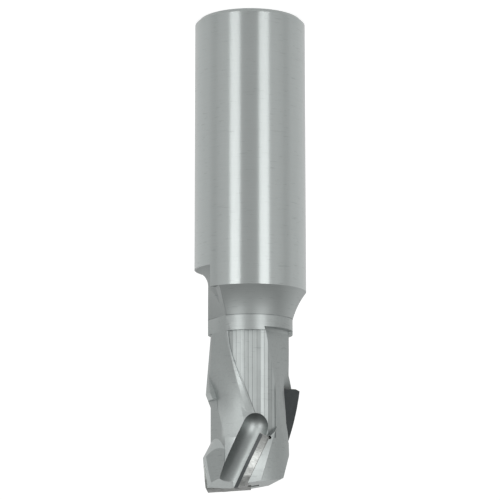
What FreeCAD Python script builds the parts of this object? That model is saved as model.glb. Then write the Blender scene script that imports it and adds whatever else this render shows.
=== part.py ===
"""Diamond-tipped router bit with alternating shear: a steel body with three brazed tips.

The frame stands on the end of the shank, with +Z along the axis to the cutting end. Angles are in degrees
about +Z from +X, counter-clockwise seen from the cutting end, which is the way the tool turns. The lower
tip, at the cutting end, is sheared to lift chips, and the upper one to press them down. The end tip lies
along +X and lets the tool plunge. Lengths are in millimetres.
"""
import FreeCAD, Part
import math
import os

V = FreeCAD.Vector
UP = V(0, 0, 1)
ORIGIN = V(0, 0, 0)
FAR = 20.0

# Shank, shoulder and collar
SHANK_DIAMETER = 20.0
SHANK_LENGTH = 50.0
SHANK_CHAMFER = 0.75
SHOULDER_LENGTH = 5.0
SHOULDER_RADIUS = 14.5
COLLAR_DIAMETER = 15.1
COLLAR_LENGTH = 2.7
COLLAR_GROOVE = 0.08

# Head: turned core, and a front panel milled in narrow facets along the axis
HEAD_LENGTH = 34.7
HEAD_END = SHANK_LENGTH + HEAD_LENGTH
CORE_DIAMETER = 13.7
PANEL_DIAMETER = 13.4
PANEL_FACETS = 13
PANEL_START_ANGLE = 230.0
PANEL_SWEEP = 80.0
PANEL_EDGE_ANGLE = 303.0
PANEL_EDGE_HEIGHT = SHANK_LENGTH + 10.4
PANEL_EDGE_TURN = -3.13

# Run-out of the flute cutter into the shank, on the side of the end tip
RUNOUT_LENGTH = 4.1
RUNOUT_RADIUS = 3.0
RUNOUT_DIAMETER = 15.1
RUNOUT_START_ANGLE = 315.0
RUNOUT_SWEEP = 90.0

# Peripheral tips: a flat carbide plate faced with diamond, brazed into a pocket
CUTTING_DIAMETER = 18.0
TIP_LENGTH = 10.45
TIP_HEIGHT = 4.0
DIAMOND_THICKNESS = 0.6
CARBIDE_THICKNESS = 1.1
BRAZE_THICKNESS = 0.1
TIP_CLEARANCE_ANGLE = 13.0
TIP_END_CLEARANCE_ANGLE = 10.0
SEAT_CORNER_RADIUS = 0.3

# Middle of each cutting edge, and its lean to the axis
LOWER_TIP_ANGLE = 274.3
LOWER_TIP_HEIGHT = HEAD_END - 3.95
LOWER_TIP_SHEAR = 25.3
UPPER_TIP_ANGLE = 152.5
UPPER_TIP_HEIGHT = HEAD_END - 12.74
UPPER_TIP_SHEAR = -27.0
UPPER_CORNER_WIDTH = 1.15
UPPER_CORNER_ANGLE = 20.0

# Wings behind the peripheral tips: land behind the flank, then heel down to the core
LAND_WIDTH = 2.2
LAND_CLEARANCE_ANGLE = 22.0
HEEL_ANGLE = 68.0

# Trimmed outline of the lower wing: start and end of the land's trailing edge, and the wall ahead of its seat
LAND_RADIUS = 8.55
LAND_START_ANGLE = 239.7
LAND_START_HEIGHT = HEAD_END - 9.2
LAND_END_ANGLE = 257.8
LAND_END_HEIGHT = HEAD_END - 0.45
LOWER_WALL_ANGLE = 247.9
LOWER_WALL_HEIGHT = HEAD_END - 8.1
LOWER_WALL_LEAN = 41.7

# Ramp and end of the upper wing
UPPER_WING_START = HEAD_END - 20.4
UPPER_WING_RAMP_ANGLE = 69.0
UPPER_WING_END = HEAD_END - 6.1

# Blank of the lower wing ahead of its gullet, blended out of the core with a long concave radius
LOWER_BLANK_DIAMETER = 15.5
LOWER_BLANK_NECK_DIAMETER = 13.3
LOWER_BLANK_START = HEAD_END - 15.9
LOWER_BLANK_RADIUS = 28.0
LOWER_BLANK_ANGLE = 268.0

# End wing, which carries the end tip: radius against height
END_WING_ANGLE = 321.0
END_WING_SWEEP = 97.0
END_WING_NECK_DIAMETER = 14.1
END_WING_CREST_DIAMETER = 15.85
END_WING_CREST_HEIGHT = HEAD_END - 16.3
END_WING_CREST_RUN = 2.3
END_PAD_DIAMETER = 16.8
END_PAD_START = HEAD_END - 7.7
END_PAD_RUN = 2.6
END_PAD_TAPER = 0.5
END_PAD_END_ANGLE = 413.0
END_PAD_FLAT_ANGLE = 315.0
END_PAD_FLAT_DISTANCE = 7.75
NECK_FLAT_ANGLE = 335.0
NECK_FLAT_DISTANCE = 6.73
BACKING_PROUD = 0.4
BACKING_HEIGHT = HEAD_END + BACKING_PROUD
BACKING_RELIEF_ANGLE = 23.5
BACKING_RELIEF_START = 3.0

# End tip
END_TIP_RADIUS = 7.9
END_TIP_HEIGHT = 4.5
END_TIP_THICKNESS = 2.0
END_TIP_PROUD = 1.0
END_TIP_TOP = HEAD_END + END_TIP_PROUD
END_TIP_DISH_ANGLE = 3.5
END_TIP_RELIEF_ANGLE = 12.0
END_TIP_SIDE_ANGLE = 5.7
END_TIP_CORNER_WIDTH = 0.45
END_TIP_CORNER_HEIGHT = 0.86
END_POCKET_OPENING = 1.0

# Gullets, cut by a ball-nosed cutter that runs beside the rake face
GULLET_CUTTER_RADIUS = 2.35
GULLET_OFFSET = 1.2
GULLET_CENTRE_RADIUS = 7.0
GULLET_LEAD = 1.0
END_GULLET_RADIUS = 3.0
END_GULLET_START = HEAD_END - 12.7
END_GASH_START = 1.5
END_GASH_DEPTH = 1.0
END_GASH_OUTER_DEPTH = 12.0
GULLET_OUTLET = 5.0
TIP_SPARE = 3.0
POCKET_LEAD = 2.0

# Front flute: a flat that turns with height, and rises out of the core into the shoulder
FRONT_FLUTE_START = SHANK_LENGTH
FRONT_FLUTE_ENTRY_HEIGHT = SHANK_LENGTH + 7.5
FRONT_FLUTE_ENTRY_RADIUS = 31.0
FRONT_FLUTE_END = HEAD_END - 8.7
FRONT_FLUTE_DISTANCE = 6.65
FRONT_FLUTE_ANGLE = 317.6
FRONT_FLUTE_HEIGHT = SHANK_LENGTH + 10.9
FRONT_FLUTE_TURN = -2.45
FRONT_FLUTE_WIDTH = 16.0
FRONT_FLUTE_ROUND_START = HEAD_END - 20.7
FRONT_FLUTE_ROUND_END = HEAD_END - 15.9
FRONT_FLUTE_ROUND_ANGLES = (7.0, 14.0, 21.0, 28.0, 35.0)

# Side flute above the upper tip: a wall and a floor that turn with height
SIDE_FLUTE_START = SHANK_LENGTH + 7.1
SIDE_FLUTE_END = HEAD_END - 7.7
SIDE_FLUTE_LIFT_HEIGHT = HEAD_END - 19.7
SIDE_FLUTE_DEPTH_RADIUS = 6.0
SIDE_FLUTE_ANGLE = 215.0
SIDE_FLUTE_HEIGHT = SHANK_LENGTH + 9.4
SIDE_FLUTE_TURN = -1.7
SIDE_FLUTE_WALL_ANGLE = 32.0
SIDE_FLUTE_CORNER_ANGLE = 9.0
SIDE_FLUTE_FLOOR_ANGLE = 34.0
SIDE_FLUTE_REACH = 3.0

# Flat beside the upper gullet
GULLET_FLAT_START = HEAD_END - 19.2
GULLET_FLAT_END = HEAD_END - 5.7
GULLET_FLAT_DISTANCE = 6.6
GULLET_FLAT_ANGLE = 194.5
GULLET_FLAT_HEIGHT = HEAD_END - 16.8
GULLET_FLAT_TURN = -2.25
GULLET_FLAT_WIDTH = 5.2
GULLET_FLAT_REACH = 3.0

# Bevels of the end opposite the end tip
END_BEVEL_ANGLE = 9.0
END_BEVEL_START = 1.26
REAR_BEVEL_ANGLE = 26.7
REAR_BEVEL_LEAN = 3.3
REAR_BEVEL_RADIUS = 5.9
REAR_BEVEL_OFFSET = 3.5
REAR_BEVEL_DROP = 1.9
SIDE_BEVEL_ANGLE = 14.5
SIDE_BEVEL_HEIGHT = HEAD_END - 5.5
SIDE_BEVEL_RADIUS = 6.8


def polar(radius, angle, height=0.0):
    """Point at a radius and an angle about the tool's axis."""
    turn = math.radians(angle)
    return V(radius * math.cos(turn), radius * math.sin(turn), height)


def tan(angle):
    """Tangent of an angle in degrees."""
    return math.tan(math.radians(angle))


def face_of(points):
    """Flat face inside a closed outline."""
    return Part.Face(Part.makePolygon(points + points[:1]))


def turned(profile, start=0.0, sweep=360.0):
    """Solid turned from a (radius, height) outline, from a start angle through a sweep."""
    face = face_of([V(radius, 0, height) for radius, height in profile])
    face.rotate(ORIGIN, UP, start)
    return face.revolve(ORIGIN, UP, sweep)


def lofted(outlines):
    """Smooth solid through level outlines."""
    return Part.makeLoft([Part.makePolygon(points + points[:1]) for points in outlines], True, False)


def heights(low, high, steps=7):
    """Evenly spaced heights from low to high."""
    return [low + (high - low) * step / steps for step in range(steps + 1)]


def beyond_plane(point, normal):
    """Block on the outer side of a plane, to cut away what stands past it."""
    block = Part.makeBox(2 * FAR, 2 * FAR, FAR, V(-FAR, -FAR, 0))
    block.Placement = FreeCAD.Placement(point, FreeCAD.Rotation(UP, normal))
    return block


def beyond_flat(distance, angle, low, high):
    """Block outside an upright flat at a distance and an angle, between two heights."""
    block = Part.makeBox(FAR, 2 * FAR, high - low, V(distance, -FAR, low))
    block.rotate(ORIGIN, UP, angle)
    return block


class Tip:
    """A peripheral tip, its pocket, its gullet and the wing behind it, all placed by its cutting edge."""

    def __init__(self, angle, height, shear):
        lean = math.radians(shear)
        tangent = polar(1.0, angle + 90.0)
        self.angle = angle
        self.height = height
        self.along = UP * math.cos(lean) + tangent * math.sin(lean)
        self.forward = tangent * math.cos(lean) - UP * math.sin(lean)
        self.outward = polar(1.0, angle)
        self.edge = polar(CUTTING_DIAMETER / 2, angle, height)
        self.turn = math.degrees(math.tan(lean) / (CUTTING_DIAMETER / 2))

    def point(self, along, forward, outward):
        """Point at distances from the middle of the cutting edge."""
        return self.edge + self.along * along + self.forward * forward + self.outward * outward

    def block(self, along, forward, outward):
        """Block between two limits on each of the three axes."""
        corner = self.point(along[0], forward[0], outward[0])
        width = self.forward * (forward[1] - forward[0])
        depth = self.outward * (outward[1] - outward[0])
        face = face_of([corner, corner + width, corner + width + depth, corner + depth])
        return face.extrude(self.along * (along[1] - along[0]))

    def section(self, height, lead):
        """Level outline of flank, land and heel, with the flank carried a lead ahead of the edge."""
        radius = CUTTING_DIAMETER / 2
        flank = (DIAMOND_THICKNESS + CARBIDE_THICKNESS) / self.along.z
        seam = radius - flank * tan(TIP_CLEARANCE_ANGLE)
        crest = seam - LAND_WIDTH * tan(LAND_CLEARANCE_ANGLE)
        foot = CORE_DIAMETER / 4
        root = CORE_DIAMETER / 10
        heel = flank + LAND_WIDTH + (crest - foot) / tan(HEEL_ANGLE)
        outline = [(-lead, radius + lead * tan(TIP_CLEARANCE_ANGLE)), (flank, seam),
                   (flank + LAND_WIDTH, crest), (heel, foot), (heel - foot, root), (-lead, root)]
        turn = self.angle + self.turn * (height - self.height)
        return [polar(outward, turn, height) + polar(-back, turn + 90.0) for back, outward in outline]

    def envelope(self, low, high, lead):
        """Solid under the flank and land between two heights."""
        return lofted([self.section(height, lead) for height in heights(low, high)])

    def wing(self, low, high, ramp_angle):
        """Steel behind the tip, ramped up from the core at its shank end."""
        core = CORE_DIAMETER / 2 - 0.2
        rise = CUTTING_DIAMETER / 2 + 1.0
        shoulder = low + (rise - core) * tan(ramp_angle)
        ramp = turned([(0, low), (core, low), (rise, shoulder), (rise, high), (0, high)])
        return self.envelope(low - 1.0, high + 1.0, 0.0).common(ramp)

    def gullet(self, low, high):
        """Ball-ended trough beside the rake face, open outwards, between two distances along the edge."""
        depth = GULLET_CENTRE_RADIUS - CUTTING_DIAMETER / 2
        start = self.point(low, GULLET_OFFSET, depth)
        end = self.point(high, GULLET_OFFSET, depth)
        trough = Part.makeCylinder(GULLET_CUTTER_RADIUS, high - low, start, self.along)
        sides = (GULLET_OFFSET - GULLET_CUTTER_RADIUS, GULLET_OFFSET + GULLET_CUTTER_RADIUS)
        opening = self.block((low, high), sides, (depth, depth + FAR))
        ends = []
        for place in (start, end):
            ends.append(Part.makeSphere(GULLET_CUTTER_RADIUS, place))
            ends.append(Part.makeCylinder(GULLET_CUTTER_RADIUS, FAR, place, self.outward))
        return trough.fuse([opening] + ends)

    def pocket(self, low, high):
        """Seat for the plate and its braze, with a round relief in the corner behind its shank end."""
        back = -(DIAMOND_THICKNESS + CARBIDE_THICKNESS + BRAZE_THICKNESS)
        floor = -(TIP_HEIGHT + BRAZE_THICKNESS)
        seat = self.block((low - BRAZE_THICKNESS, high), (back, POCKET_LEAD), (floor, TIP_SPARE))
        corner = self.point(low - BRAZE_THICKNESS, back, floor)
        return seat.fuse(Part.makeCylinder(SEAT_CORNER_RADIUS, TIP_HEIGHT + TIP_SPARE, corner, self.outward))

    def plates(self, low, high, trims, seam_trims):
        """Diamond layer, carbide plate and braze seam between two distances along the edge."""
        flank = self.envelope(self.height - TIP_LENGTH, self.height + TIP_LENGTH, 1.0)
        seam = -(DIAMOND_THICKNESS + CARBIDE_THICKNESS)
        diamond = self.block((low, high), (-DIAMOND_THICKNESS, 0), (-TIP_HEIGHT, 1.0))
        carbide = self.block((low, high), (seam, -DIAMOND_THICKNESS), (-TIP_HEIGHT, 1.0))
        seat = self.block((low - BRAZE_THICKNESS, high), (seam - BRAZE_THICKNESS, 0),
                          (-TIP_HEIGHT - BRAZE_THICKNESS, 1.0))
        diamond, carbide = [shape.common(flank).cut(trims) for shape in (diamond, carbide)]
        return [diamond, carbide, seat.common(flank).cut([diamond, carbide] + seam_trims)]


def body_blank():
    """Shank, shoulder, collar and core in one turned piece."""
    shank = SHANK_DIAMETER / 2
    collar = COLLAR_DIAMETER / 2
    core = CORE_DIAMETER / 2
    shoulder_end = SHANK_LENGTH + SHOULDER_LENGTH
    collar_end = shoulder_end + COLLAR_LENGTH
    start, end = V(shank, 0, SHANK_LENGTH), V(collar, 0, shoulder_end)
    chord = end - start
    inward = V(-chord.z, 0, chord.x).normalize()
    sagitta = SHOULDER_RADIUS - math.sqrt(SHOULDER_RADIUS ** 2 - chord.Length ** 2 / 4)
    middle = (start + end) * 0.5 + inward * sagitta
    below = [V(0, 0, 0), V(shank - SHANK_CHAMFER, 0, 0), V(shank, 0, SHANK_CHAMFER), start]
    above = [end, V(collar - COLLAR_GROOVE, 0, shoulder_end),
             V(collar - COLLAR_GROOVE, 0, shoulder_end + COLLAR_GROOVE),
             V(collar, 0, shoulder_end + COLLAR_GROOVE), V(collar, 0, collar_end),
             V(core, 0, collar_end), V(core, 0, HEAD_END), V(0, 0, HEAD_END), V(0, 0, 0)]
    edges = [Part.makeLine(a, b) for a, b in zip(below, below[1:])]
    edges.append(Part.Arc(start, middle, end).toShape())
    edges += [Part.makeLine(a, b) for a, b in zip(above, above[1:])]
    return Part.Face(Part.Wire(edges)).revolve(ORIGIN, UP, 360)


def lower_wing(tip):
    """Wing of the lower tip, with its land cut back along a straight edge, and the wall ahead of its seat."""
    start = polar(LAND_RADIUS, LAND_START_ANGLE, LAND_START_HEIGHT)
    end = polar(LAND_RADIUS, LAND_END_ANGLE, LAND_END_HEIGHT)
    middle = (LAND_START_ANGLE + LAND_END_ANGLE) / 2
    inward = polar(-tan(HEEL_ANGLE), middle) - polar(1.0, middle + 90.0)
    heel = beyond_plane(start, (end - start).cross(inward))
    wall = beyond_plane(polar(LAND_RADIUS, LOWER_WALL_ANGLE, LOWER_WALL_HEIGHT),
                        polar(tan(LOWER_WALL_LEAN), LOWER_WALL_ANGLE + 90.0, -1.0))
    steel = tip.envelope(LAND_START_HEIGHT - 2.0, HEAD_END + 1.0, 0.0)
    return steel.cut([heel, wall])


def panel_cut():
    """Narrow facets along the axis, cut into the core on one side of a helical edge."""
    low = SHANK_LENGTH + SHOULDER_LENGTH + COLLAR_LENGTH
    high = LAND_START_HEIGHT + 1.0
    angles = [PANEL_START_ANGLE + PANEL_SWEEP * step / PANEL_FACETS for step in range(PANEL_FACETS + 1)]
    outline = [polar(PANEL_DIAMETER / 2, angle, low) for angle in angles]
    outline += [polar(FAR / 2, angle, low) for angle in reversed(angles)]
    facets = face_of(outline).extrude(V(0, 0, high - low))
    edges = []
    for height in heights(low - 1.0, high + 1.0):
        turn = PANEL_EDGE_ANGLE + PANEL_EDGE_TURN * max(0.0, height - PANEL_EDGE_HEIGHT)
        edges.append([V(0, 0, height)] + [polar(FAR, turn - step, height) for step in (0, 45, 90)])
    return facets.common(lofted(edges))


def end_wing():
    """Wing that carries the end tip: its turned crest and neck, the flat on the neck, and its pad."""
    low = SHANK_LENGTH + SHOULDER_LENGTH + COLLAR_LENGTH
    neck = END_WING_NECK_DIAMETER / 2
    pad = END_PAD_DIAMETER / 2
    crest = [(0, low), (neck, low), (END_WING_CREST_DIAMETER / 2, END_WING_CREST_HEIGHT),
             (neck, END_WING_CREST_HEIGHT + END_WING_CREST_RUN), (neck, END_PAD_START + 1.0),
             (0, END_PAD_START + 1.0)]
    inner = NECK_FLAT_DISTANCE - 0.3
    toe = END_PAD_START - (neck - inner) * END_PAD_RUN / (pad - neck)
    foot = [(0, toe), (inner, toe), (pad, END_PAD_START + END_PAD_RUN), (pad - END_PAD_TAPER, BACKING_HEIGHT),
            (0, BACKING_HEIGHT)]
    upper = turned(crest, END_WING_ANGLE, END_WING_SWEEP)
    flat = beyond_flat(NECK_FLAT_DISTANCE, NECK_FLAT_ANGLE, END_WING_CREST_HEIGHT + END_WING_CREST_RUN / 2,
                       END_PAD_START + END_PAD_RUN)
    edge = NECK_FLAT_ANGLE - math.degrees(math.acos(2 * NECK_FLAT_DISTANCE / LOWER_BLANK_DIAMETER))
    lower = turned(foot, edge, END_PAD_END_ANGLE - edge)
    heel = beyond_flat(END_PAD_FLAT_DISTANCE, END_PAD_FLAT_ANGLE, END_PAD_START, BACKING_HEIGHT)
    return upper, flat, lower.cut(heel)


def lower_blank():
    """Blank of the lower wing ahead of its gullet."""
    neck, full = LOWER_BLANK_NECK_DIAMETER / 2, LOWER_BLANK_DIAMETER / 2
    lean = math.acos(1 - (full - neck) / LOWER_BLANK_RADIUS)
    start = V(neck, 0, LOWER_BLANK_START)
    middle = start + V(1 - math.cos(lean / 2), 0, math.sin(lean / 2)) * LOWER_BLANK_RADIUS
    end = start + V(1 - math.cos(lean), 0, math.sin(lean)) * LOWER_BLANK_RADIUS
    corners = [end, V(full, 0, BACKING_HEIGHT), V(0, 0, BACKING_HEIGHT), V(0, 0, LOWER_BLANK_START), start]
    edges = [Part.Arc(start, middle, end).toShape()]
    edges += [Part.makeLine(a, b) for a, b in zip(corners, corners[1:])]
    face = Part.Face(Part.Wire(edges))
    face.rotate(ORIGIN, UP, LOWER_BLANK_ANGLE)
    return face.revolve(ORIGIN, UP, NECK_FLAT_ANGLE - LOWER_BLANK_ANGLE)


def runout_cut():
    """Concave run-out of the flute cutter, part of the way round the shank and shoulder."""
    floor = RUNOUT_DIAMETER / 2
    start = SHANK_LENGTH - RUNOUT_LENGTH
    outer = SHANK_DIAMETER / 2 + 1.0
    centre = V(floor + RUNOUT_RADIUS, 0, start + RUNOUT_RADIUS)
    corner = V(floor, 0, centre.z)
    middle = centre + V(-RUNOUT_RADIUS, 0, -RUNOUT_RADIUS) * math.sqrt(0.5)
    tip = V(centre.x, 0, start)
    end = SHANK_LENGTH + SHOULDER_LENGTH
    edges = [Part.Arc(corner, middle, tip).toShape(), Part.makeLine(tip, V(outer, 0, start)),
             Part.makeLine(V(outer, 0, start), V(outer, 0, end)), Part.makeLine(V(outer, 0, end), V(floor, 0, end)),
             Part.makeLine(V(floor, 0, end), corner)]
    face = Part.Face(Part.Wire(edges))
    face.rotate(ORIGIN, UP, RUNOUT_START_ANGLE)
    return face.revolve(ORIGIN, UP, RUNOUT_SWEEP)


def front_flute():
    """Flat that turns with height beside the panel, rises into the shoulder and rounds out to its end."""
    wires = []
    for height in heights(FRONT_FLUTE_START, FRONT_FLUTE_END, 12):
        lift = max(0.0, FRONT_FLUTE_ENTRY_HEIGHT - height) ** 2 / (2 * FRONT_FLUTE_ENTRY_RADIUS)
        turn = FRONT_FLUTE_ANGLE + FRONT_FLUTE_TURN * (height - FRONT_FLUTE_HEIGHT)
        depth = FRONT_FLUTE_DISTANCE + lift
        share = (height - FRONT_FLUTE_ROUND_START) / (FRONT_FLUTE_ROUND_END - FRONT_FLUTE_ROUND_START)
        share = min(1.0, max(0.0, share))
        middle = polar(depth, turn, height)
        floor = [middle - polar(FRONT_FLUTE_WIDTH * part / 8, turn + 90.0) for part in (4, 3, 2, 1, 0)]
        for angle in FRONT_FLUTE_ROUND_ANGLES:
            reach = depth * (share + (1.0 - share) / math.cos(math.radians(angle)))
            floor.append(polar(reach, turn + angle, height))
        curve = Part.BSplineCurve()
        curve.interpolate(floor)
        corners = [floor[-1], polar(FAR, turn + FRONT_FLUTE_ROUND_ANGLES[-1], height),
                   floor[0] + polar(FAR / 2, turn), floor[0]]
        sides = [Part.makeLine(a, b) for a, b in zip(corners, corners[1:])]
        wires.append(Part.Wire([curve.toShape()] + sides))
    return Part.makeLoft(wires, True, False)


def side_flute():
    """Wall and floor that turn with height above the upper gullet."""
    outlines = []
    rim = CORE_DIAMETER / 2 + 0.1
    for height in heights(SIDE_FLUTE_START, SIDE_FLUTE_END):
        share = max(0.0, height - SIDE_FLUTE_LIFT_HEIGHT) / (SIDE_FLUTE_END - SIDE_FLUTE_LIFT_HEIGHT)
        depth = SIDE_FLUTE_DEPTH_RADIUS + (rim - SIDE_FLUTE_DEPTH_RADIUS) * share
        turn = SIDE_FLUTE_ANGLE + SIDE_FLUTE_TURN * (height - SIDE_FLUTE_HEIGHT)
        outlines.append([polar(depth, turn + SIDE_FLUTE_CORNER_ANGLE, height),
                         polar(rim, turn + SIDE_FLUTE_WALL_ANGLE, height),
                         polar(rim + SIDE_FLUTE_REACH, turn + SIDE_FLUTE_WALL_ANGLE, height),
                         polar(rim + SIDE_FLUTE_REACH, turn - SIDE_FLUTE_FLOOR_ANGLE, height),
                         polar(rim, turn - SIDE_FLUTE_FLOOR_ANGLE, height)])
    return lofted(outlines)


def gullet_flat():
    """Flat that turns with height along the leading side of the upper gullet."""
    outlines = []
    for height in heights(GULLET_FLAT_START, GULLET_FLAT_END):
        turn = GULLET_FLAT_ANGLE + GULLET_FLAT_TURN * (height - GULLET_FLAT_HEIGHT)
        middle = polar(GULLET_FLAT_DISTANCE, turn, height)
        side = polar(GULLET_FLAT_WIDTH / 2, turn + 90.0)
        out = polar(GULLET_FLAT_REACH, turn)
        outlines.append([middle - side, middle + side, middle + side + out, middle - side + out])
    return lofted(outlines)


def end_bevels():
    """Planes that take the end back opposite the end tip."""
    end = beyond_plane(V(END_BEVEL_START, 0, HEAD_END), V(-tan(END_BEVEL_ANGLE), 0, 1))
    rear = beyond_plane(V(-REAR_BEVEL_RADIUS, REAR_BEVEL_OFFSET, HEAD_END - REAR_BEVEL_DROP),
                        V(-tan(REAR_BEVEL_ANGLE), tan(REAR_BEVEL_LEAN), 1))
    side = beyond_plane(V(-SIDE_BEVEL_RADIUS, 0, SIDE_BEVEL_HEIGHT), V(-1, 0, tan(SIDE_BEVEL_ANGLE)))
    return [end, rear, side]


def backing_relief():
    """Slope that takes the steel back behind the end tip."""
    seam = -END_TIP_THICKNESS
    slope = tan(BACKING_RELIEF_ANGLE)
    outline = [(seam, BACKING_HEIGHT), (seam - FAR, BACKING_HEIGHT - FAR * slope),
               (seam - FAR, BACKING_HEIGHT + FAR), (seam, BACKING_HEIGHT + FAR)]
    return face_of([V(BACKING_RELIEF_START, y, z) for y, z in outline]).extrude(V(FAR, 0, 0))


def end_plates():
    """Carbide plate and braze seam of the end tip, with the block of its pocket."""
    low = END_TIP_TOP - END_TIP_HEIGHT
    back = -END_TIP_THICKNESS
    dish = END_TIP_RADIUS * tan(END_TIP_DISH_ANGLE)
    corner = END_TIP_RADIUS - END_TIP_CORNER_WIDTH
    shoulder = END_TIP_TOP - END_TIP_CORNER_HEIGHT
    root = END_TIP_RADIUS + (shoulder - low) * tan(END_TIP_SIDE_ANGLE)
    middle = END_TIP_TOP - dish
    outline = [(0, low), (root, low), (END_TIP_RADIUS, shoulder), (corner, END_TIP_TOP), (0, middle)]
    relief = beyond_plane(V(0, 0, middle), V(tan(-END_TIP_DISH_ANGLE), -tan(END_TIP_RELIEF_ANGLE), 1))
    plate = face_of([V(x, back, z) for x, z in outline]).extrude(V(0, END_TIP_THICKNESS, 0)).cut(relief)
    seat = Part.makeBox(root + BRAZE_THICKNESS, BRAZE_THICKNESS - back, END_TIP_HEIGHT,
                        V(-BRAZE_THICKNESS, back - BRAZE_THICKNESS, low - BRAZE_THICKNESS))
    edge = root + BRAZE_THICKNESS * tan(END_TIP_SIDE_ANGLE)
    side = turned([(0, low - BRAZE_THICKNESS), (edge, low - BRAZE_THICKNESS), (END_TIP_RADIUS, shoulder),
                   (corner, END_TIP_TOP), (0, END_TIP_TOP)])
    braze = seat.cut([plate, relief]).common(side)
    pocket = Part.makeBox(FAR, END_POCKET_OPENING + BRAZE_THICKNESS - back, FAR,
                          V(-BRAZE_THICKNESS, back - BRAZE_THICKNESS, low - BRAZE_THICKNESS))
    return [plate, braze], pocket


def end_gullet():
    """Trough ahead of the end tip, with a slope that carries chips out from the axis."""
    start = V(GULLET_CENTRE_RADIUS, END_GULLET_RADIUS, END_GULLET_START + END_GULLET_RADIUS)
    trough = Part.makeCylinder(END_GULLET_RADIUS, FAR, start, UP)
    nose = Part.makeSphere(END_GULLET_RADIUS, start)
    opening = Part.makeBox(FAR, 2 * END_GULLET_RADIUS, FAR, start - V(0, END_GULLET_RADIUS, 0))
    relief = Part.makeCylinder(END_GULLET_RADIUS, FAR, start, V(1, 0, 0))
    gash = face_of([V(-END_GASH_START, 0, HEAD_END + FAR), V(-END_GASH_START, 0, HEAD_END - END_GASH_DEPTH),
                    V(FAR, 0, HEAD_END - END_GASH_OUTER_DEPTH), V(FAR, 0, HEAD_END + FAR)])
    return trough.fuse([nose, opening, relief, gash.extrude(V(0, END_GULLET_RADIUS, 0))])


def build():
    """All pieces of the tool by name."""
    half = TIP_LENGTH / 2
    lower = Tip(LOWER_TIP_ANGLE, LOWER_TIP_HEIGHT, LOWER_TIP_SHEAR)
    upper = Tip(UPPER_TIP_ANGLE, UPPER_TIP_HEIGHT, UPPER_TIP_SHEAR)
    foot = lower.point(half, 0, 0)
    lower_trim = beyond_plane(foot, UP - polar(tan(TIP_END_CLEARANCE_ANGLE), LOWER_TIP_ANGLE + 90.0))
    shelf = upper.point(-half, 0, 0)
    corner_relief = beyond_plane(shelf - upper.outward * UPPER_CORNER_WIDTH,
                                 upper.outward * tan(UPPER_CORNER_ANGLE) - UP)
    upper_trims = [beyond_plane(shelf, -UP), corner_relief]
    upper_seam_trim = beyond_plane(shelf - UP * BRAZE_THICKNESS, -UP)
    corner_seam_trim = beyond_plane(shelf - upper.outward * UPPER_CORNER_WIDTH - UP * BRAZE_THICKNESS,
                                    upper.outward * tan(UPPER_CORNER_ANGLE) - UP)
    end_parts, end_pocket = end_plates()

    crest, neck_flat, pad = end_wing()
    body = body_blank().fuse(crest)
    body = body.cut([front_flute(), side_flute(), gullet_flat(), runout_cut()])
    body = body.fuse(lower_blank()).cut([neck_flat, panel_cut()])
    body = body.fuse(pad).cut(backing_relief())
    body = body.fuse([lower_wing(lower),
                      upper.wing(UPPER_WING_START, UPPER_WING_END, UPPER_WING_RAMP_ANGLE)])
    body = body.cut([lower.gullet(-half - GULLET_LEAD, half + GULLET_OUTLET),
                     upper.gullet(-half - TIP_SPARE, half + GULLET_LEAD),
                     lower.pocket(-half, half + GULLET_OUTLET),
                     upper.pocket(-half - TIP_SPARE, half).cut([upper_seam_trim, corner_seam_trim]),
                     end_gullet(), end_pocket]
                    + end_bevels())
    pieces = {"tool_body": body}
    names = ("diamond", "carbide", "braze")
    lower_plates = lower.plates(-half, half + TIP_SPARE, [lower_trim], [lower_trim, end_bevels()[0]])
    upper_plates = upper.plates(-half - TIP_SPARE, half, upper_trims, [upper_seam_trim, corner_seam_trim])
    for name, shape in zip(names, lower_plates):
        pieces["lower_tip_" + name] = shape
    for name, shape in zip(names, upper_plates):
        pieces["upper_tip_" + name] = shape
    for name, shape in zip(names[1:], end_parts):
        pieces["end_tip_" + name] = shape
    return pieces


os.makedirs("parts", exist_ok=True)
for piece_name, piece in build().items():
    solids = piece.Solids
    print(piece_name, "solids", len(solids), "valid", piece.isValid(), "volume", round(piece.Volume, 2))
    shape = solids[0] if len(solids) == 1 else piece
    shape.exportStep("parts/" + piece_name + ".step")
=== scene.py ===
"""Looks of a diamond-tipped router bit: ground shank, milled head and brazed tips of opposite shear.

The tool stands on the end of its shank, with +Z along its axis to the cutting end. The camera is rolled
half a turn, so that the picture shows the shank at the top. Lengths are in metres and angles in degrees.
"""

import logging
import math
from dataclasses import dataclass, field
from enum import Enum
from typing import Optional, Sequence, Union

import bmesh
import bpy
from mathutils import Matrix, Vector

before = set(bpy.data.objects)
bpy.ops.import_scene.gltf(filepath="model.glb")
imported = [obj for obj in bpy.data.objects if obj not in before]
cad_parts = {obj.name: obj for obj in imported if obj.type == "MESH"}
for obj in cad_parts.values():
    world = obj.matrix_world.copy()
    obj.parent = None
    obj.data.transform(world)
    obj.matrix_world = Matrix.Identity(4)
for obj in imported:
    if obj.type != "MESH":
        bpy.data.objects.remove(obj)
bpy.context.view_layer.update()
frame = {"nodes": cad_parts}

LOG = logging.getLogger("router_bit")
UP = Vector((0.0, 0.0, 1.0))
Colour = tuple[float, float, float]
Stretch = tuple[float, float, float]
Limits = tuple[float, float]
Socket = bpy.types.NodeSocket
Source = Union[Socket, float, Sequence[float]]


class Lay(Enum):
    """Direction of a machining step's marks, as how often they change per metre along X, Y and Z."""

    ROUND = (60.0, 60.0, 7000.0)
    AXIAL = (4200.0, 4200.0, 40.0)
    FINE = (2600.0, 2600.0, 2600.0)


@dataclass(frozen=True)
class Cut:
    """How one machining step leaves the steel, or where painted light or shade lies on it."""

    shade: float
    rough: float
    directed: float
    lay: Lay
    contrast: float


@dataclass(frozen=True)
class Relief:
    """How far a pattern stands up, and how much of that is used."""

    strength: float
    height: float


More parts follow.
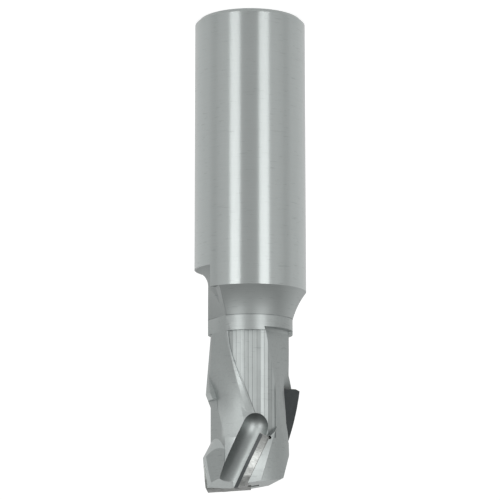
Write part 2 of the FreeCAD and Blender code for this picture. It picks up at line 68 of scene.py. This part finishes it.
def opaque(colour: Colour, share: float = 1.0) -> tuple[float, float, float, float]:
    """Colour scaled by a share, with full opacity."""
    return (colour[0] * share, colour[1] * share, colour[2] * share, 1.0)


class Graph:
    """Short calls for building a node tree."""

    def __init__(self, name: str) -> None:
        """Makes an empty material.

        Args:
            name: the material's name.
        """
        self.material = bpy.data.materials.new(name)
        self.material.use_nodes = True
        self.begin(self.material.node_tree, "Object")

    @classmethod
    def over(cls, tree: bpy.types.NodeTree, coordinates: str) -> "Graph":
        """Starts on a tree that exists, such as the world's.

        Args:
            tree: the node tree, which is emptied.
            coordinates: the texture coordinates that patterns read.

        Returns:
            The graph.
        """
        graph = cls.__new__(cls)
        graph.begin(tree, coordinates)
        return graph

    def begin(self, tree: bpy.types.NodeTree, coordinates: str) -> None:
        """Empties a node tree and adds its coordinates.

        Args:
            tree: the node tree.
            coordinates: the texture coordinates that patterns read.
        """
        self.tree = tree
        self.tree.nodes.clear()
        self.texture = self.add("ShaderNodeTexCoord")
        self.place = self.texture.outputs[coordinates]

    def add(self, kind: str, inputs: Optional[dict] = None, **settings: object) -> bpy.types.Node:
        """Adds a node, sets its properties, and links or sets its inputs.

        Args:
            kind: the node's type.
            inputs: a value or an output socket for each input, by name or number.
            settings: the node's own properties.

        Returns:
            The new node.
        """
        node = self.tree.nodes.new(kind)
        for key, value in settings.items():
            setattr(node, key, value)
        for key, value in (inputs or {}).items():
            if isinstance(value, bpy.types.NodeSocket):
                self.tree.links.new(value, node.inputs[key])
            else:
                node.inputs[key].default_value = value
        return node

    def axes(self) -> Sequence[Socket]:
        """The three coordinates of the place that is shaded."""
        return self.add("ShaderNodeSeparateXYZ", {0: self.place}).outputs

    def maths(self, operation: str, *values: Source) -> Socket:
        """Result of one arithmetic step on numbers."""
        return self.add("ShaderNodeMath", dict(enumerate(values)), operation=operation).outputs[0]

    def vector(self, operation: str, *values: Source) -> Socket:
        """Result of one arithmetic step on vectors."""
        node = self.add("ShaderNodeVectorMath", dict(enumerate(values)), operation=operation)
        return node.outputs["Value" if operation in ("DOT_PRODUCT", "LENGTH") else "Vector"]

    def product(self, first: Source, *others: Source) -> Source:
        """Product of several numbers.

        Args:
            first: the number to begin with.
            others: the numbers that it is multiplied by.

        Returns:
            The socket that gives the product.
        """
        for value in others:
            first = self.maths("MULTIPLY", first, value)
        return first

    def step(self, value: Source, low: float, high: float, start: float = 0.0, end: float = 1.0) -> Socket:
        """Smooth change from one number to another as a value passes between two limits.

        Args:
            value: the number that is read.
            low: where the change begins.
            high: where it ends.
            start: the result below the first limit.
            end: the result past the second limit.

        Returns:
            The socket that gives the result.
        """
        node = self.add("ShaderNodeMapRange", {0: value, 1: low, 2: high, 3: start, 4: end},
                        interpolation_type="SMOOTHSTEP")
        return node.outputs[0]

    def fade(self, value: Source, limits: Limits, end: float = 0.0) -> Socket:
        """Smooth change from one to a smaller number as a value passes between two limits."""
        return self.step(value, *limits, 1.0, end)

    def grain(self, stretch: Stretch, detail: float = 3.0) -> Socket:
        """Noise that is stretched along the marks of a machining step.

        Args:
            stretch: how often the noise changes along X, Y and Z, per metre.
            detail: the number of finer layers in it.

        Returns:
            The socket that gives the noise, from 0 to 1.
        """
        drawn = self.vector("MULTIPLY", self.place, stretch)
        inputs = {"Vector": drawn, "Scale": 1.0, "Detail": detail, "Roughness": 0.6}
        return self.add("ShaderNodeTexNoise", inputs).outputs["Fac"]

    def mix(self, share: Source, first: Source, second: Source) -> Socket:
        """Number between two others."""
        return self.add("ShaderNodeMix", {0: share, 2: first, 3: second}, data_type="FLOAT").outputs[0]

    def shaded(self, share: Source, colour: Colour, shades: Limits) -> Socket:
        """Colour between two shades of itself."""
        inputs = {0: share, 6: opaque(colour, shades[0]), 7: opaque(colour, shades[1])}
        return self.add("ShaderNodeMix", inputs, data_type="RGBA").outputs[2]

    def tint(self, colour: Colour, tone: Source) -> Socket:
        """Colour made lighter or darker by a number."""
        return self.add("ShaderNodeVectorMath", {0: colour, 3: tone}, operation="SCALE").outputs["Vector"]

    def bump(self, pattern: Socket, relief: Relief, under: Optional[Socket] = None) -> Socket:
        """Raises a pattern on a surface.

        Args:
            pattern: the pattern that stands up.
            relief: how far it stands up.
            under: the raised pattern under this one, if there is one.

        Returns:
            The socket that gives the surface's direction.
        """
        inputs = {"Strength": relief.strength, "Distance": relief.height, "Height": pattern}
        if under is not None:
            inputs["Normal"] = under
        return self.add("ShaderNodeBump", inputs).outputs[0]

    def finish(self, shader: bpy.types.Node) -> bpy.types.Material:
        """Puts a shader on the surface.

        Args:
            shader: the node that shades the surface.

        Returns:
            The material.
        """
        out = self.add("ShaderNodeOutputMaterial")
        self.tree.links.new(shader.outputs[0], out.inputs["Surface"])
        return self.material


def put_on(piece: bpy.types.Object, material: bpy.types.Material) -> None:
    """Puts one material in the slots of a piece.

    Args:
        piece: the object that gets the material.
        material: the material.
    """
    if not piece.material_slots:
        piece.data.materials.append(material)
    for slot in piece.material_slots:
        slot.material = material


@dataclass(frozen=True)
class Spot:
    """Where a point of the tool lies, as sockets of a node tree."""

    across: Socket
    depth: Socket
    height: Socket
    radius: Socket
    turn: Socket

    @classmethod
    def of(cls, graph: Graph) -> "Spot":
        """Measures the point that is shaded.

        Args:
            graph: the material's node tree.

        Returns:
            The measures: across to the picture's left, depth away from the camera, height from the shank's
            end, radius from the axis, and turn about the axis from the front.
        """
        across, depth, height = graph.axes()
        radius = graph.vector("LENGTH", graph.vector("MULTIPLY", graph.place, (1.0, 1.0, 0.0)))
        turn = graph.maths("ARCTAN2", across, graph.product(depth, -1.0))
        return cls(across, depth, height, radius, turn)


@dataclass(frozen=True)
class Slant:
    """Plane that shows as a slanting line on the front: its side at one height, and its lean above that."""

    height: float
    side: float
    lean: float

    def past(self, graph: Graph, spot: Spot) -> Socket:
        """How far a point lies past the line, towards the picture's left."""
        above = graph.maths("SUBTRACT", spot.height, self.height)
        return graph.maths("SUBTRACT", spot.across, graph.maths("MULTIPLY_ADD", above, self.lean, self.side))

    def short(self, graph: Graph, spot: Spot) -> Socket:
        """Mask of the points on the picture's right of the line."""
        return graph.maths("LESS_THAN", self.past(graph, spot), 0.0)


@dataclass(frozen=True)
class Gullet:
    """Ball-ended trough ahead of the lower tip, placed by the middle of the tip's cutting edge."""

    angle: float = 274.3
    height: float = 0.08075
    shear: float = 25.3
    centre_radius: float = 0.007
    ahead: float = 0.0012
    start: float = -0.006225
    cutter_radius: float = 0.00237

    def place(self, graph: Graph) -> tuple[Socket, Socket]:
        """Finds the trough's walls and its ball end.

        Args:
            graph: the material's node tree.

        Returns:
            The mask of the trough, and the distance along it from the centre of its ball end.
        """
        outward = Vector((math.cos(math.radians(self.angle)), math.sin(math.radians(self.angle)), 0.0))
        tangent = Vector((-outward.y, outward.x, 0.0))
        lean = math.radians(self.shear)
        along = UP * math.cos(lean) + tangent * math.sin(lean)
        forward = tangent * math.cos(lean) - UP * math.sin(lean)
        centre = (outward * self.centre_radius + UP * self.height
                  + forward * self.ahead + along * self.start)
        from_centre = graph.vector("SUBTRACT", graph.place, tuple(centre))
        run = graph.vector("DOT_PRODUCT", from_centre, tuple(along))
        side = graph.vector("DOT_PRODUCT", from_centre, tuple(forward))
        short = graph.maths("MINIMUM", run, 0.0)
        deep = graph.maths("MINIMUM", graph.vector("DOT_PRODUCT", from_centre, tuple(outward)), 0.0)
        offset = graph.add("ShaderNodeCombineXYZ", {0: short, 1: side, 2: deep}).outputs[0]
        reached = graph.maths("LESS_THAN", graph.vector("LENGTH", offset), self.cutter_radius)
        facing = graph.maths("GREATER_THAN", graph.vector("DOT_PRODUCT", graph.place, tuple(outward)), 0.0)
        return graph.product(reached, facing), run


@dataclass(frozen=True)
class ToolSteel:
    """Steel of the body: ground shank, turned shoulder and collar, milled head with a faceted panel.

    Each cut has its zone. Limits say where a zone's edge begins and where it is complete, and a flat is given
    by the angle that it faces and its distance from the axis.
    """

    name: str = "tool_steel"
    colour: Colour = (0.455, 0.485, 0.478)
    metallic: float = 0.9
    ground: Cut = Cut(1.0, 0.32, 1.0, Lay.ROUND, 0.03)
    shoulder: Cut = Cut(0.765, 0.45, 0.0, Lay.ROUND, 0.04)
    collar: Cut = Cut(0.79, 0.38, 0.2, Lay.ROUND, 0.05)
    run_out: Cut = Cut(0.65, 0.5, 0.1, Lay.FINE, 0.06)
    milled: Cut = Cut(0.76, 0.52, 0.1, Lay.FINE, 0.07)
    turned: Cut = Cut(0.96, 0.42, 0.1, Lay.FINE, 0.07)
    # Brighter back of the front wing: painted light, as the colour is raised where it catches light.
    wing_back_painted_light: Cut = Cut(1.08, 0.42, 0.1, Lay.FINE, 0.07)
    land: Cut = Cut(0.86, 0.45, 0.1, Lay.FINE, 0.07)
    # Darker lower end of the crest strip: painted shade over the streak of light it reflects.
    crest_end_painted_shade: Cut = Cut(0.78, 0.5, 0.1, Lay.FINE, 0.07)
    panel: Cut = Cut(0.82, 0.46, 0.1, Lay.AXIAL, 0.33)
    trough: Cut = Cut(1.02, 0.47, 0.0, Lay.FINE, 0.06)
    # The gullet's ball end is darkened in the colour: painted shade in the recess.
    trough_end: Limits = (-0.0018, 0.0008)
    ball_end_painted_shade: float = 0.5
    sharp: float = 0.00002
    shank_foot: Limits = (0.0, 0.001)
    shank_end: float = 0.05
    shank_skin: float = 0.0097
    shoulder_end: float = 0.055
    collar_end: float = 0.0577
    collar_half: Limits = (0.0039, 0.0045)
    collar_back: Limits = (-0.005, -0.002)
    run_out_line: Slant = Slant(shank_end, 0.0053, -0.26)
    core_skin: Limits = (0.0065, 0.0069)
    wing_side: Limits = (-0.001, 0.0)
    land_radii: Limits = (0.00848, 0.00854)
    wing_back_start: Limits = (0.0715, 0.0745)
    wing_back_stop: Limits = (0.0755, 0.0775)
    wing_back_side: Limits = (0.0046, 0.0052)
    crest_line: Slant = Slant(collar_end, 0.0042, -0.19)
    crest_fade: Limits = (0.066, 0.07)
    crest_stop: Limits = (0.0725, 0.074)
    flute_fade: Limits = (0.0648, 0.0718)
    flats: tuple[tuple[float, float], ...] = ((335.0, 0.00673), (315.0, 0.00775))
    end_facing: Limits = (0.4, 0.5)
    panel_radius: float = 0.00669
    panel_skin: float = 0.00003
    panel_half_angle: float = 40.0
    panel_facets: int = 13
    facet_seam: Limits = (0.36, 0.5)
    facet_share: float = 0.6
    panel_line: Slant = Slant(collar_end, 0.00471, -0.38)
    # Painted shadow of the step at the panel's edge: its shade, heights, width and side.
    panel_line_painted_shadow: float = 0.55
    panel_line_start: Limits = (0.0635, 0.0695)
    panel_line_end: float = 0.0735
    panel_line_width: Limits = (0.00004, 0.00014)
    panel_line_depth: float = -0.005
    # Painted shadow line in the groove between shoulder and collar: its width and shade.
    groove_width: float = 0.00009
    groove_painted_shadow: float = 0.72
    clouds: Stretch = (220.0, 220.0, 160.0)
    cloud_share: float = 0.3
    mark_strength: float = 4.0
    mark_relief: Relief = Relief(0.6, 0.000004)
    scuffs: Stretch = (420.0, 420.0, 4200.0)
    scuff_limits: Limits = (0.62, 0.7)
    scuff_shade: float = 0.9
    scuff_rough: float = 0.06
    waves: Stretch = (260.0, 260.0, 200.0)
    wave_relief: Relief = Relief(0.5, 0.00001)

    def collar_band(self, graph: Graph, spot: Spot) -> Socket:
        """Mask of the collar's turned part: all of its back, and the middle of its front."""
        middle = graph.fade(graph.maths("ABSOLUTE", spot.across), self.collar_half)
        return graph.maths("MAXIMUM", graph.step(spot.depth, *self.collar_back), middle)

    def panel_step_painted_shadow(self, graph: Graph, spot: Spot) -> Socket:
        """Paints a dark shadow line where the faceted panel ends against the wing, stronger towards the
        gullet: painted shade of the step there.

        Args:
            graph: the material's node tree.
            spot: where the point lies.

        Returns:
            The socket that gives the line's shade, and 1 off the line.
        """
        off = graph.maths("ABSOLUTE", self.panel_line.past(graph, spot))
        line = graph.product(graph.fade(off, self.panel_line_width),
                             graph.step(spot.height, *self.panel_line_start),
                             graph.maths("LESS_THAN", spot.depth, self.panel_line_depth),
                             graph.maths("LESS_THAN", spot.height, self.panel_line_end))
        return graph.mix(line, 1.0, self.panel_line_painted_shadow)

    def head_zones(self, graph: Graph, spot: Spot) -> list[tuple[Socket, Cut]]:
        """Masks of the head's brighter parts, of painted light and painted shade on it, and of its panel,
        each with its cut.

        Args:
            graph: the material's node tree.
            spot: where the point lies.

        Returns:
            The masks and cuts, where a later one covers an earlier one.
        """
        crest = self.crest_line.short(graph, spot)
        skirt = graph.product(graph.step(spot.radius, *self.core_skin),
                              graph.step(spot.across, *self.wing_side))
        swept = graph.maths("MAXIMUM", crest, graph.step(spot.height, *self.flute_fade))
        blank = graph.product(skirt, swept)
        # Painted light on the back of the front wing.
        lit = graph.product(blank, graph.step(spot.height, *self.wing_back_start),
                            graph.fade(spot.height, self.wing_back_stop),
                            graph.fade(spot.across, self.wing_back_side))
        # Painted shade at the crest strip's end.
        crest_painted_shade_mask = graph.product(skirt, crest, graph.step(spot.height, *self.crest_fade),
                               graph.fade(spot.height, self.crest_stop))
        for angle, distance in self.flats:
            facing = (math.cos(math.radians(angle)), math.sin(math.radians(angle)), 0.0)
            reach = graph.vector("DOT_PRODUCT", graph.place, facing)
            flat = graph.maths("COMPARE", reach, distance, self.sharp)
            blank = graph.product(blank, graph.maths("SUBTRACT", 1.0, flat))
        upward = graph.add("ShaderNodeSeparateXYZ", {0: graph.texture.outputs["Normal"]}).outputs[2]
        end_face = graph.step(upward, *self.end_facing)
        half = math.radians(self.panel_half_angle)
        near = graph.maths("LESS_THAN", graph.maths("ABSOLUTE", spot.turn), half)
        core = graph.product(graph.maths("COMPARE", spot.radius, self.panel_radius, self.panel_skin),
                             near, crest, self.panel_line.short(graph, spot))
        return [(graph.maths("MAXIMUM", blank, end_face), self.turned), (lit, self.wing_back_painted_light),
                (crest_painted_shade_mask, self.crest_end_painted_shade), (graph.step(spot.radius, *self.land_radii), self.land),
                (core, self.panel)]

    def shank_zones(self, graph: Graph, spot: Spot) -> list[tuple[Socket, Cut]]:
        """Masks of the collar, shoulder and shank, each with its cut.

        Args:
            graph: the material's node tree.
            spot: where the point lies.

        Returns:
            The masks and cuts, where a later one covers an earlier one.
        """
        def below(limit: float) -> Socket:
            """Mask of what lies nearer to the shank's end than a height."""
            return graph.fade(spot.height, (limit - self.sharp, limit + self.sharp))

        sunk = graph.maths("GREATER_THAN", self.run_out_line.past(graph, spot), 0.0)
        outside = graph.step(spot.radius, self.shank_skin - self.sharp, self.shank_skin + self.sharp)
        skin = graph.maths("MAXIMUM", outside, graph.fade(spot.height, self.shank_foot))
        return [(below(self.collar_end), self.milled),
                (graph.product(below(self.collar_end), self.collar_band(graph, spot)), self.collar),
                (below(self.shoulder_end), self.shoulder),
                (graph.product(below(self.shoulder_end), sunk), self.run_out),
                (graph.product(below(self.shank_end), skin), self.ground)]

    def facets(self, graph: Graph, spot: Spot) -> Socket:
        """Gives each milled facet of the panel its own tone, with a darker line at its edges.

        Args:
            graph: the material's node tree.
            spot: where the point lies.

        Returns:
            The socket that gives the tone, from 0 to 1.
        """
        width = math.radians(2 * self.panel_half_angle) / self.panel_facets
        count = graph.maths("MULTIPLY_ADD", spot.turn, 1.0 / width, self.panel_facets / 2)
        number = graph.maths("FLOOR", count)
        tone = graph.add("ShaderNodeTexWhiteNoise", {"W": number}, noise_dimensions="1D").outputs["Value"]
        from_middle = graph.maths("ABSOLUTE", graph.maths("SUBTRACT", graph.maths("FRACT", count), 0.5))
        return graph.mix(graph.step(from_middle, *self.facet_seam), tone, 0.0)

    def scuffs_and_groove_shadow(self, graph: Graph, spot: Spot, scuff: Socket) -> Socket:
        """Draws the scuffs, and paints a shadow line in the groove between shoulder and collar.

        Args:
            graph: the material's node tree.
            spot: where the point lies.
            scuff: the mask of the scuffs.

        Returns:
            The socket that gives their shade, and 1 elsewhere.
        """
        # Painted shadow in the groove.
        groove = graph.product(graph.maths("COMPARE", spot.height, self.shoulder_end, self.groove_width),
                               self.collar_band(graph, spot))
        return graph.product(graph.mix(scuff, 1.0, self.scuff_shade),
                             graph.mix(groove, 1.0, self.groove_painted_shadow))

    def make(self) -> bpy.types.Material:
        """Builds the material.

        Returns:
            The material.
        """
        graph = Graph(self.name)
        spot = Spot.of(graph)
        grains = {lay: graph.grain(lay.value) for lay in Lay}
        grains[Lay.AXIAL] = graph.mix(self.facet_share, grains[Lay.AXIAL], self.facets(graph, spot))
        trough, run = Gullet().place(graph)
        first = self.milled
        shade, rough, directed, contrast = first.shade, first.rough, first.directed, first.contrast
        marks = grains[first.lay]
        zones = self.head_zones(graph, spot) + self.shank_zones(graph, spot) + [(trough, self.trough)]
        for mask, cut in zones:
            shade = graph.mix(mask, shade, cut.shade)
            rough = graph.mix(mask, rough, cut.rough)
            directed = graph.mix(mask, directed, cut.directed)
            contrast = graph.mix(mask, contrast, cut.contrast)
            marks = graph.mix(mask, marks, grains[cut.lay])
        # Painted shade: the gullet's ball end and the shadow line at the panel's edge are darkened in the
        # colour.
        ball = graph.step(run, *self.trough_end, self.ball_end_painted_shade, 1.0)
        drawn = graph.mix(trough, self.panel_step_painted_shadow(graph, spot), ball)
        scuff = graph.step(graph.grain(self.scuffs, detail=2.0), *self.scuff_limits)
        mottled = graph.mix(self.cloud_share, marks, graph.grain(self.clouds, detail=4.0))
        uneven = graph.product(graph.maths("SUBTRACT", mottled, 0.5), self.mark_strength)
        tone = graph.product(shade, drawn, self.scuffs_and_groove_shadow(graph, spot, scuff),
                             graph.maths("MULTIPLY_ADD", uneven, contrast, 1.0))
        wave = graph.bump(graph.grain(self.waves, detail=1.0), self.wave_relief)
        # The shader takes the direction of its streaks only from a link.
        axis = graph.add("ShaderNodeCombineXYZ", {2: 1.0}).outputs[0]
        return graph.finish(graph.add("ShaderNodeBsdfPrincipled", {
            "Base Color": graph.tint(self.colour, tone), "Metallic": self.metallic,
            "Roughness": graph.maths("MULTIPLY_ADD", scuff, self.scuff_rough, rough),
            "Anisotropic": directed, "Tangent": axis,
            "Normal": graph.bump(marks, self.mark_relief, wave)}))


@dataclass(frozen=True)
class DiamondLayer:
    """Dark sintered diamond with a fine satin grain."""

    name: str = "diamond_layer"
    colour: Colour = (0.05, 0.058, 0.06)
    rough: float = 0.42
    grains: Stretch = (9000.0, 9000.0, 9000.0)
    grain_relief: Relief = Relief(0.3, 0.00001)
    clouds: Stretch = (500.0, 500.0, 500.0)
    cloud_share: float = 0.5
    tone_limits: Limits = (0.3, 0.7)
    shades: Limits = (0.75, 1.25)

    def make(self) -> bpy.types.Material:
        """Builds the material.

        Returns:
            The material.
        """
        graph = Graph(self.name)
        grain = graph.grain(self.grains)
        mottled = graph.mix(self.cloud_share, grain, graph.grain(self.clouds))
        tone = graph.step(mottled, *self.tone_limits)
        return graph.finish(graph.add("ShaderNodeBsdfPrincipled", {
            "Base Color": graph.shaded(tone, self.colour, self.shades),
            "Metallic": 0.0, "Roughness": self.rough,
            "Normal": graph.bump(grain, self.grain_relief)}))


@dataclass(frozen=True)
class GroundCarbide:
    """Bright carbide, ground in one direction, with blotches, darker towards the shank and darker again at
    its cutting end.
    """

    name: str = "ground_carbide"
    colour: Colour = (0.62, 0.64, 0.62)
    metallic: float = 0.9
    scratches: Stretch = (1500.0, 1500.0, 9000.0)
    scratch_relief: Relief = Relief(0.4, 0.00001)
    blotches: Stretch = (900.0, 900.0, 700.0)
    blotch_share: float = 0.6
    blotch_rough: Limits = (0.3, 0.5)
    tone_limits: Limits = (0.35, 0.65)
    tones: Limits = (0.6, 1.1)
    # Darker towards the shank, and darker again past a wavering line near the cutting end.
    shank_side_span: Limits = (0.0779, 0.0816)
    shank_side_tone: float = 0.33
    cutting_end_span: Limits = (0.0836, 0.0842)
    cutting_end_tone: float = 0.4
    cutting_end_waver: float = 0.001

    def make(self) -> bpy.types.Material:
        """Builds the material.

        Returns:
            The material.
        """
        graph = Graph(self.name)
        height = graph.axes()[2]
        lines = graph.grain(self.scratches)
        blotch = graph.grain(self.blotches)
        tone = graph.step(graph.mix(self.blotch_share, lines, blotch), *self.tone_limits, *self.tones)
        shank_side = graph.step(height, *self.shank_side_span, self.shank_side_tone, 1.0)
        cutting_end = graph.fade(graph.maths("MULTIPLY_ADD", blotch, self.cutting_end_waver, height),
                           self.cutting_end_span, self.cutting_end_tone)
        return graph.finish(graph.add("ShaderNodeBsdfPrincipled", {
            "Base Color": graph.tint(self.colour, graph.product(tone, shank_side, cutting_end)),
            "Metallic": self.metallic, "Roughness": graph.mix(blotch, *self.blotch_rough),
            "Normal": graph.bump(lines, self.scratch_relief)}))


@dataclass(frozen=True)
class BrazeSeam:
    """Dull, slightly yellow solder in the narrow gaps round a plate."""

    name: str = "braze_seam"
    colour: Colour = (0.17, 0.172, 0.166)
    rough: float = 0.45
    lumps: Stretch = (2500.0, 2500.0, 2500.0)
    lump_relief: Relief = Relief(0.5, 0.00003)
    shades: Limits = (0.6, 1.5)

    def make(self) -> bpy.types.Material:
        """Builds the material.

        Returns:
            The material.
        """
        graph = Graph(self.name)
        lump = graph.grain(self.lumps)
        return graph.finish(graph.add("ShaderNodeBsdfPrincipled", {
            "Base Color": graph.shaded(lump, self.colour, self.shades),
            "Metallic": 1.0, "Roughness": self.rough,
            "Normal": graph.bump(lump, self.lump_relief)}))


@dataclass(frozen=True)
class PaleFloor:
    """White board: plain white to the eye and in reflections, with the object's soft shadow on it."""

    name: str = "pale_floor"
    seen: float = 0.84
    mirrored: float = 0.62
    albedo: float = 0.35

    def make(self) -> bpy.types.Material:
        """Builds the material.

        Returns:
            The material.
        """
        graph = Graph(self.name)
        path = graph.add("ShaderNodeLightPath").outputs
        gloss = graph.maths("MAXIMUM", path["Is Glossy Ray"], path["Is Transmission Ray"])
        reflected = graph.product(gloss, self.mirrored)
        glow = graph.maths("MULTIPLY_ADD", path["Is Camera Ray"], self.seen, reflected)
        paint = graph.add("ShaderNodeBsdfDiffuse", {"Color": opaque((self.albedo,) * 3)})
        light = graph.add("ShaderNodeEmission", {"Color": opaque((1.0,) * 3), "Strength": glow})
        return graph.finish(graph.add("ShaderNodeAddShader", {0: paint.outputs[0], 1: light.outputs[0]}))


@dataclass
class ToolBody:
    """The one-piece steel body."""

    node: str = "tool_body"
    steel: ToolSteel = field(default_factory=ToolSteel)

    def dress(self, nodes: dict[str, bpy.types.Object]) -> None:
        """Gives the body its steel."""
        put_on(nodes[self.node], self.steel.make())
        LOG.info("dressed %s", self.node)


@dataclass
class BrazedTips:
    """The plates and seams of the three tips."""

    diamond: DiamondLayer = field(default_factory=DiamondLayer)
    carbide: GroundCarbide = field(default_factory=GroundCarbide)
    braze: BrazeSeam = field(default_factory=BrazeSeam)

    def dress(self, nodes: dict[str, bpy.types.Object]) -> None:
        """Gives every plate and seam the finish that its name ends with.

        Args:
            nodes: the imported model's objects by name.
        """
        kinds = {"diamond": self.diamond, "carbide": self.carbide, "braze": self.braze}
        finishes = {kind: finish.make() for kind, finish in kinds.items()}
        for name, piece in nodes.items():
            kind = name.rsplit("_", 1)[-1]
            if kind in finishes:
                put_on(piece, finishes[kind])
                LOG.info("dressed %s", name)


@dataclass(frozen=True)
class Room:
    """Light of the room by direction, where 1 is white.

    It is pale all round, and darker overhead, behind the camera and behind the tool, with a dark gap and a
    white card at each side. Limits are heights of the direction, or depths away from the camera.
    """

    ring: float = 1.1
    front_top: float = 0.55
    back_top: float = 1.0
    front_top_limits: Limits = (0.1, 0.6)
    back_top_limits: Limits = (0.1, 0.7)
    front_to_back: Limits = (-0.3, 0.3)
    behind_camera: float = 0.08
    behind_camera_limits: Limits = (-0.99, -0.88)
    behind_tool: float = 0.5
    behind_tool_limits: Limits = (0.86, 0.99)
    side_gap: float = 0.48
    gap_start: Limits = (-0.36, -0.26)
    gap_stop: Limits = (-0.1, 0.1)
    side_card: float = 1.25
    card_start: Limits = (0.4, 0.55)
    card_stop: Limits = (0.76, 0.86)

    def make(self) -> bpy.types.World:
        """Builds the world and puts it in the scene.

        Returns:
            The world.
        """
        world = bpy.data.worlds.new("studio_room")
        bpy.context.scene.world = world
        world.use_nodes = True
        graph = Graph.over(world.node_tree, "Generated")
        _, depth, height = graph.axes()
        overhead = graph.mix(graph.step(depth, *self.front_to_back),
                             graph.step(height, *self.front_top_limits, self.ring, self.front_top),
                             graph.step(height, *self.back_top_limits, self.ring, self.back_top))
        front = graph.step(depth, *self.behind_camera_limits, self.behind_camera, 1.0)
        back = graph.fade(depth, self.behind_tool_limits, self.behind_tool)
        gap = graph.product(graph.step(depth, *self.gap_start), graph.fade(depth, self.gap_stop))
        away = graph.maths("ABSOLUTE", depth)
        card = graph.product(graph.step(away, *self.card_start), graph.fade(away, self.card_stop))
        level = graph.product(overhead, front, back, graph.mix(gap, 1.0, self.side_gap),
                              graph.mix(card, 1.0, self.side_card))
        sky = graph.add("ShaderNodeBackground", {"Strength": level})
        out = graph.add("ShaderNodeOutputWorld")
        graph.tree.links.new(sky.outputs[0], out.inputs["Surface"])
        return world


@dataclass(frozen=True)
class StripLamp:
    """Tall strip lamp beside the camera. Its angle is about the tool's axis, to the picture's right."""

    name: str
    angle: float
    distance: float = 0.6
    width: float = 0.22
    tall: float = 0.28
    level: float = 4.1

    def hang(self) -> bpy.types.Object:
        """Makes the lamp and turns it to the tool.

        Returns:
            The lamp's object.
        """
        lamp = bpy.data.lights.new(self.name, "AREA")
        lamp.shape = "RECTANGLE"
        lamp.size = self.width
        lamp.size_y = self.tall
        lamp.energy = self.level * math.pi * self.width * self.tall
        piece = bpy.data.objects.new(self.name, lamp)
        bpy.context.scene.collection.objects.link(piece)
        angle = math.radians(self.angle)
        away = Vector((-math.sin(angle) * self.distance, -math.cos(angle) * self.distance, 0.0))
        turn = away.to_track_quat("Z", "Y").to_matrix().to_4x4()
        piece.matrix_world = Matrix.Translation(away + UP * self.tall / 2) @ turn
        piece.visible_camera = False
        return piece


@dataclass(frozen=True)
class Viewpoint:
    """Where the photograph was taken from."""

    place: tuple[float, float, float] = (0.00004, -0.39186, 0.11363)
    pitch: float = 10.321
    roll: float = -0.064
    lens: float = 159.85
    sensor: float = 36.0
    nearest: float = 0.01

    def make(self) -> bpy.types.Object:
        """Makes the scene's camera, which looks down at the tool and is rolled half a turn.

        Returns:
            The camera's object.
        """
        data = bpy.data.cameras.new("camera")
        data.lens = self.lens
        data.sensor_width = self.sensor
        data.clip_start = self.nearest
        piece = bpy.data.objects.new("camera", data)
        bpy.context.scene.collection.objects.link(piece)
        pitch = math.radians(self.pitch)
        ahead = Vector((0.0, math.cos(pitch), -math.sin(pitch)))
        right = Vector((-1.0, 0.0, 0.0))
        turn = Matrix((right, right.cross(ahead), -ahead)).transposed().to_4x4()
        roll = Matrix.Rotation(math.radians(self.roll), 4, "Z")
        piece.matrix_world = Matrix.Translation(self.place) @ turn @ roll
        bpy.context.scene.camera = piece
        return piece


@dataclass
class Studio:
    """Floor, room, lamps and camera."""

    floor_size: float = 12.0
    floor_finish: PaleFloor = field(default_factory=PaleFloor)
    room: Room = field(default_factory=Room)
    strips: tuple[StripLamp, ...] = (StripLamp("left_strip", angle=-31.0),
                                     StripLamp("right_strip", angle=28.5))
    viewpoint: Viewpoint = field(default_factory=Viewpoint)

    def floor(self) -> bpy.types.Object:
        """Makes the floor under the shank's end.

        Returns:
            The floor's object.
        """
        mesh = bmesh.new()
        bmesh.ops.create_grid(mesh, x_segments=1, y_segments=1, size=self.floor_size / 2)
        data = bpy.data.meshes.new("studio_floor")
        mesh.to_mesh(data)
        mesh.free()
        piece = bpy.data.objects.new("studio_floor", data)
        bpy.context.scene.collection.objects.link(piece)
        put_on(piece, self.floor_finish.make())
        return piece

    def build(self) -> None:
        """Sets up everything round the object."""
        bpy.context.scene.view_settings.view_transform = "Standard"
        self.floor()
        self.room.make()
        for strip in self.strips:
            strip.hang()
        self.viewpoint.make()
        LOG.info("studio is set")


def main(frame: dict) -> None:
    """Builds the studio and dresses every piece.
    """
    logging.basicConfig(level=logging.INFO, format="%(name)s: %(message)s")
    Studio().build()
    ToolBody().dress(frame["nodes"])
    BrazedTips().dress(frame["nodes"])


if __name__ == "__main__":
    main(frame)
